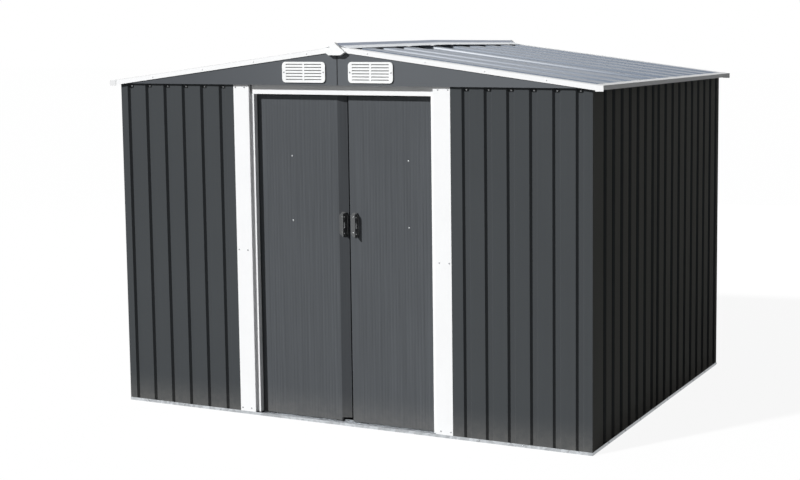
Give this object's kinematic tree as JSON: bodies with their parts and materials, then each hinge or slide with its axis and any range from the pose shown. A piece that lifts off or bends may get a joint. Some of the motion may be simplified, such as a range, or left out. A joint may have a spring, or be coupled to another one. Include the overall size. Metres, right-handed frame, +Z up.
{
  "type": "metal tool shed",
  "caption": "Ribbed sheet-steel garden tool shed with a low gable roof, vented gables, sliding doors and an open floor frame.",
  "frame": {"origin": "on the ground under the middle of the shed", "axes": "+X along the front to the right as seen from the front, the front looks towards -Y, +Z up"},
  "size_m": [2.578, 1.97, 1.784],
  "materials": {
    "wall_paint": "satin dark grey paint on ribbed steel sheet",
    "door_paint": "satin dark grey paint on finely ribbed steel sheet",
    "gable_paint": "satin dark grey paint on flat steel sheet",
    "roof_paint": "glossy blue-grey paint on ribbed steel sheet",
    "white_trim": "white paint on folded steel",
    "ridge_paint": "light grey paint on folded steel",
    "galvanised": "galvanised steel channel",
    "white_moulding": "white moulded plastic",
    "black_moulding": "black moulded plastic",
    "grey_moulding": "dark grey moulded plastic"
  },
  "bodies": {
    "shed": {"base_rail_front": "galvanised", "base_rail_back": "galvanised", "base_rail_left": "galvanised", "base_rail_right": "galvanised", "floor_bar_front": "galvanised", "floor_bar_back": "galvanised", "floor_joists": "galvanised", "floor_crossbars_left": "galvanised", "floor_crossbars_right": "galvanised", "door_sill": "galvanised", "wall_top_rails": "galvanised", "wall_mid_rails": "galvanised", "ridge_beam": "galvanised", "roof_beam_left": "galvanised", "roof_beam_right": "galvanised", "front_wall_left": "wall_paint", "front_wall_right": "wall_paint", "right_wall_front": "wall_paint", "right_wall_rear": "wall_paint", "left_wall_front": "wall_paint", "left_wall_rear": "wall_paint", "back_wall_left": "wall_paint", "back_wall_right": "wall_paint", "door_jamb_left": "white_trim", "door_jamb_right": "white_trim", "door_head": "white_trim", "rake_trim_front_left": "white_trim", "rake_trim_front_right": "white_trim", "rake_trim_back_left": "white_trim", "rake_trim_back_right": "white_trim", "eave_trim_left": "white_trim", "eave_trim_right": "white_trim", "gable_front_left": "gable_paint", "gable_front_right": "gable_paint", "gable_back_left": "gable_paint", "gable_back_right": "gable_paint", "roof_left_front": "roof_paint", "roof_left_back": "roof_paint", "roof_right_front": "roof_paint", "roof_right_back": "roof_paint", "ridge_cap": "ridge_paint", "front_vents": "white_moulding", "back_vents": "white_moulding", "ridge_end_front": "white_moulding", "ridge_end_back": "white_moulding"},
    "left_door": {"left_door_panel": "door_paint", "left_door_glides": "black_moulding", "left_door_braces": "galvanised", "left_door_handle": "grey_moulding"},
    "right_door": {"right_door_panel": "door_paint", "right_door_glides": "black_moulding", "right_door_braces": "galvanised", "right_door_handle": "grey_moulding"}
  },
  "joints": [
    {"name": "left_door_slide", "type": "slide", "parent": "shed", "child": "left_door", "axis": [-1, 0, 0], "range_m": [0, 0.42]},
    {"name": "right_door_slide", "type": "slide", "parent": "shed", "child": "right_door", "axis": [1, 0, 0], "range_m": [0, 0.385]}
  ]
}
